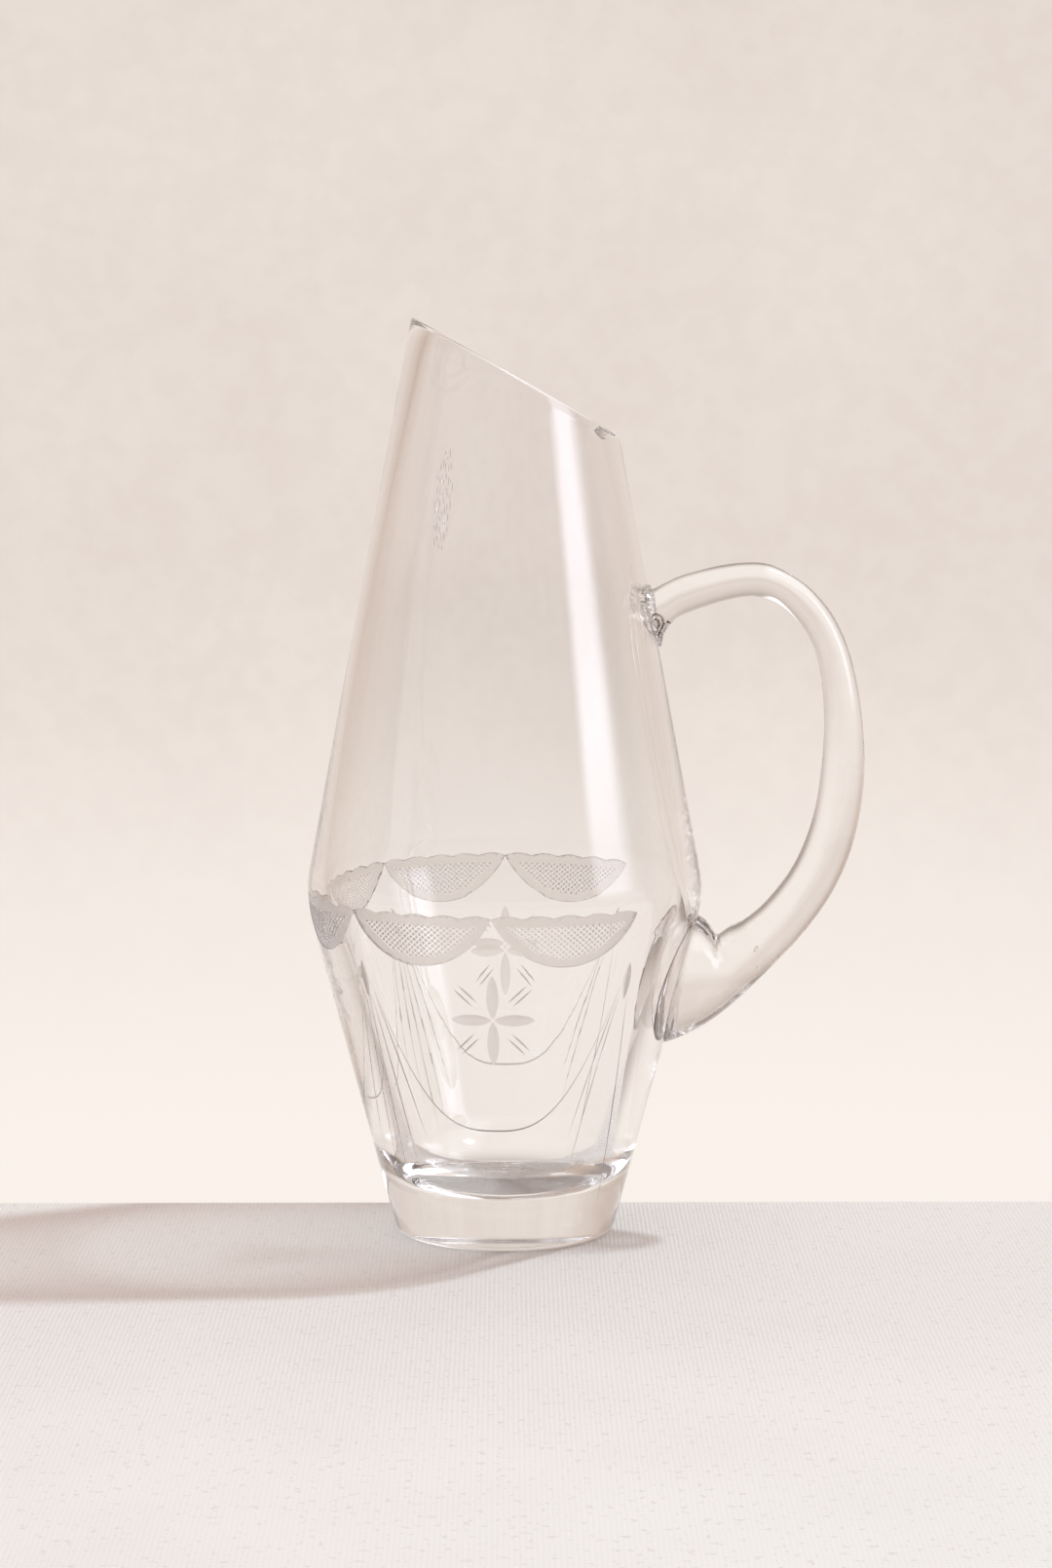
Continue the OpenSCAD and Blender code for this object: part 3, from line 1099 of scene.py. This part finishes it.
handle = {
    # outer x and z, inner x and z, width across, share of the wall's roundness, point of the inner end
    "rings": (
        (44.1, 199.3, 47.6, 180.3, 38, 1, 1.5),
        (44.2, 199.0, 47.7, 180.6, 25, 1, 1.2),
        (44.5, 198.3, 47.9, 181.0, 17, 1, 0.8),
        (45.5, 198.0, 48.2, 182.3, 14.6, 0.8, 0.5),
        (48.0, 199.3, 48.9, 184.8, 13.6, 0.3, 0.15),
        (53.3, 201.8, 52.4, 188.9, 12.9, 0, 0),
        (58.5, 203.3, 58.1, 191.4, 12.5, 0, 0),
        (65.0, 204.9, 66.0, 194.0, 11.2, 0, 0),
        (72.8, 205.9, 73.4, 195.5, 10.6, 0, 0),
        (80.4, 205.4, 78.7, 195.2, 10.3, 0, 0),
        (89.7, 200.7, 83.6, 193.3, 9.8, 0, 0),
        (96.3, 194.8, 88.9, 188.5, 9.7, 0, 0),
        (101.7, 186.8, 93.0, 182.6, 9.7, 0, 0),
        (105.9, 176.0, 96.0, 173.6, 10.2, 0, 0),
        (109.1, 159.5, 97.6, 158.6, 11.6, 0, 0),
        (110.0, 140.5, 96.8, 142.4, 13.2, 0, 0),
        (107.5, 122.3, 94.2, 127.2, 14.2, 0, 0),
        (101.6, 106.6, 88.8, 113.6, 14.5, 0, 0),
        (92.5, 93.0, 81.0, 102.8, 15.2, 0, 0),
        (82.0, 81.6, 74.4, 96.8, 17.2, 0, 0),
        (74.5, 74.2, 69.2, 94.1, 20.5, 0, 0),
        (68.8, 69.1, 65.4, 91.6, 24, 0.15, 0),
        (62.8, 64.6, 63.3, 94.3, 27.5, 0.4, 0),
        (57.0, 61.2, 61.5, 96.4, 30, 0.7, 0),
        (51.4, 58.8, 59.9, 97.4, 31.5, 1, 0)),
    # heights of the outer and inner edge on the wall, width across, point
    "upperContact": (199.3, 180.0, 38, 1.5),
    "lowerContact": (58.0, 97.6, 31.5, 0),
    # sizes of the rings that close each end, in shares of its pad, and how deep they lie in the wall
    "capSizes": (0.02, 0.3, 0.6, 0.85, 0.95, 1),
    "sink": 0.3,
    "steps": 7,
    "around": 240,
    "sharpAngle": 50,
    # wrinkles of the upper pad: waves round it, how these bend and twist, and where they are deepest
    "folds": (25, 17),
    "foldBend": (3, 5),
    "foldTwist": 60,
    "foldDepth": 0.14,
    "foldHeights": (188, 195),
    "foldRest": 0.12,
    "foldEdge": (0.9, 0.99),
    # creases of the curl under the upper joint and of the fold over the lower one, x and z in the side view
    "creases": (
        ((44.3, 190.0), (45.1, 190.6), (45.9, 190.7), (47.1, 190.1), (47.9, 189.2), (48.3, 187.6),
         (47.7, 186.1), (47.0, 184.5), (46.5, 182.6), (46.8, 181.2)),
        ((44.8, 188.8), (45.7, 189.1), (46.6, 188.7), (46.9, 187.6), (46.4, 186.2), (45.8, 184.8),
         (45.5, 183.6)),
        ((57.0, 98.2), (58.6, 97.0), (60.6, 95.9), (62.3, 94.6), (63.6, 92.6), (64.2, 90.9)),
        ((57.6, 96.0), (59.2, 95.2), (60.8, 94.1), (62.2, 92.6))),
    "creaseReach": 1,
    "creaseWidth": 0.42,
    "creaseDepth": 0.55,
    # painted shade: crease faces deeper than this share take the dark seam glass
    "creaseShadeFrom": 0.55,
    "creaseFade": (0.6, 3.2),
    # the painted shade line round the lower pad, in shares of the pad's size, and its slack from the wall
    "seamSpan": (0.95, 1.02),
    "seamSlack": 0.1,
    # x, z, length, thickness and distance towards the camera of the bubbles
    "bubbles": ((76.7, 87.5, 2.4, 0.7, 2), (76.1, 82.9, 1.3, 0.9, -1), (58.6, 68.6, 1.0, 0.6, 3)),
    "bubbleLean": 40,
    "bubbleDetail": (20, 12),
}


def curveThrough(rows, t):
    i = int(clamp(math.floor(t), 0, len(rows) - 2))
    f = t - i
    a, b, c, d = (rows[int(clamp(k, 0, len(rows) - 1))] for k in (i - 1, i, i + 1, i + 2))
    return [
        q + ((r - p) * f + (2 * p - 5 * q + 4 * r - s) * f ** 2 + (3 * q - p - 3 * r + s) * f ** 3) / 2
        for p, q, r, s in zip(a, b, c, d)]


def capRings(outer, inner, wide, point):  # rings in the wall that close the end, from the middle outwards
    rings = []
    for size in handle["capSizes"]:
        middle = (outer + inner) / 2
        low, high = mix(middle, outer, size), mix(middle, inner, size)
        rings.append((
            outerSlope(low)[0] - handle["sink"], low, outerSlope(high)[0] - handle["sink"], high,
            wide * size, 1, point))
    return rings


def padFold(angle, z, onWall):  # fine wrinkles where the pad was pressed on, mostly at its top
    if z < vessel["ridgeHeight"]:
        return 0
    many, few = handle["folds"]
    bend, beat = handle["foldBend"]
    high = mix(handle["foldRest"], 1, ease(z, *handle["foldHeights"]))
    wave = math.cos(many * angle + bend * math.sin(beat * angle))
    wave += math.cos(few * angle + handle["foldTwist"] * onWall)
    return handle["foldDepth"] * high * ease(onWall, *handle["foldEdge"]) * wave


def makeHandle():
    drawn = handle["rings"]
    count = (len(drawn) - 1) * handle["steps"]
    rings = capRings(*handle["upperContact"])
    rings += [curveThrough(drawn, k / handle["steps"]) for k in range(count + 1)]
    rings += capRings(*handle["lowerContact"])[::-1]

    def place(row, column):
        outerX, outerZ, innerX, innerZ, wide, onWall, point = rings[row]
        angle = 2 * math.pi * column / handle["around"]
        x = mix(innerX, outerX, (1 + math.cos(angle)) / 2)
        z = mix(innerZ, outerZ, (1 + math.cos(angle)) / 2)
        y = wide / 2 * math.sin(angle) * abs(math.cos(angle / 2)) ** point
        x += padFold(angle, z, onWall) * wide / handle["upperContact"][2]
        r = outerSlope(z)[0]
        return Vector((x - onWall * (r - math.sqrt(r ** 2 - y ** 2)), y, z))

    rod = rolledTube("glassHandle", len(rings), handle["around"], place)
    paint(rod, handleGlass, seamShadeGlass)
    pressCreases(rod)
    addBubbles(rod)
    pick(rod)
    bpy.ops.object.shade_smooth_by_angle(angle=math.radians(handle["sharpAngle"]))
    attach(rod, "root")
    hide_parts("upper_seal", "handle", "lower_seal")
    print("handle made", len(rod.data.polygons))
    return rod


def lineDistance(point, a, b):  # beyond the ends of the line, the distance from a
    foot, share = geometry.intersect_point_line(point, a, b)
    nearest = foot.xy if 0 < share < 1 else Vector(a)
    return (Vector(point) - nearest).length


def creaseShare(x, z):  # 1 in the middle of a crease, fading to 0 across it
    near = min(lineDistance((x, z), a, b) for line in handle["creases"] for a, b in zip(line, line[1:]))
    return math.exp(-(near / handle["creaseWidth"]) ** 2)


def byCrease(x, y, z):  # near a crease, on either side of the handle
    reach = handle["creaseReach"]
    boxes = ((*map(min, zip(*line)), *map(max, zip(*line))) for line in handle["creases"])
    return abs(y) > reach and any(
        left - reach < x < right + reach and low - reach < z < high + reach
        for left, low, right, high in boxes)


# faces found here take the painted shade of the seam
def onSeam(x, y, z):  # in the outermost part of the lower pad, where it meets the wall
    outer, inner, wide, _ = handle["lowerContact"]
    size = math.hypot((z - (outer + inner) / 2) / ((inner - outer) / 2), y / (wide / 2))
    inWall = abs(outerSlope(z)[0] - handle["sink"] - math.hypot(x, y)) < handle["seamSlack"]
    start, end = handle["seamSpan"]
    return inWall and start < size < end


# the creases are pressed in, and their faces on the near side take painted shade
def pressCreases(rod):  # folds of the glass at both joints, seen from both sides
    editMode(rod, "FACE")
    mesh = bmesh.from_edit_mesh(rod.data)
    for face in mesh.faces:
        face.select = byCrease(*(face.calc_center_median() / mm))
    bmesh.update_edit_mesh(rod.data)
    bpy.ops.mesh.subdivide(number_cuts=1, smoothness=0)
    objectMode()
    shares = {}
    for v in rod.data.vertices:
        x, y, z = v.co / mm
        if byCrease(x, y, z):
            shares[v.index] = creaseShare(x, z) * ease(abs(y), *handle["creaseFade"])
            v.co.y -= math.copysign(handle["creaseDepth"] * shares[v.index] * mm, y)
    for face in rod.data.polygons:
        # painted shade: the near side's crease faces and the seam round the lower pad take the dark seam
        # glass
        inCrease = face.center.y < 0 and min(shares.get(k, 0) for k in face.vertices) > handle["creaseShadeFrom"]
        if inCrease or onSeam(*(face.center / mm)):
            face.material_index = 1


def addBubbles(rod):
    bubbles = [
        hollow((thick, thick, length), handle["bubbleLean"], 0, Vector((x, -near, z)), handleGlass,
               handle["bubbleDetail"])
        for x, z, length, thick, near in handle["bubbles"]]
    join([rod] + bubbles)


glassHandle = makeHandle()

bpy.context.scene.view_settings.view_transform = "Standard"
bpy.context.scene.cycles.max_bounces = studio["bounces"]
bpy.context.scene.cycles.glossy_bounces = studio["bounces"]
bpy.context.scene.cycles.transmission_bounces = studio["bounces"]
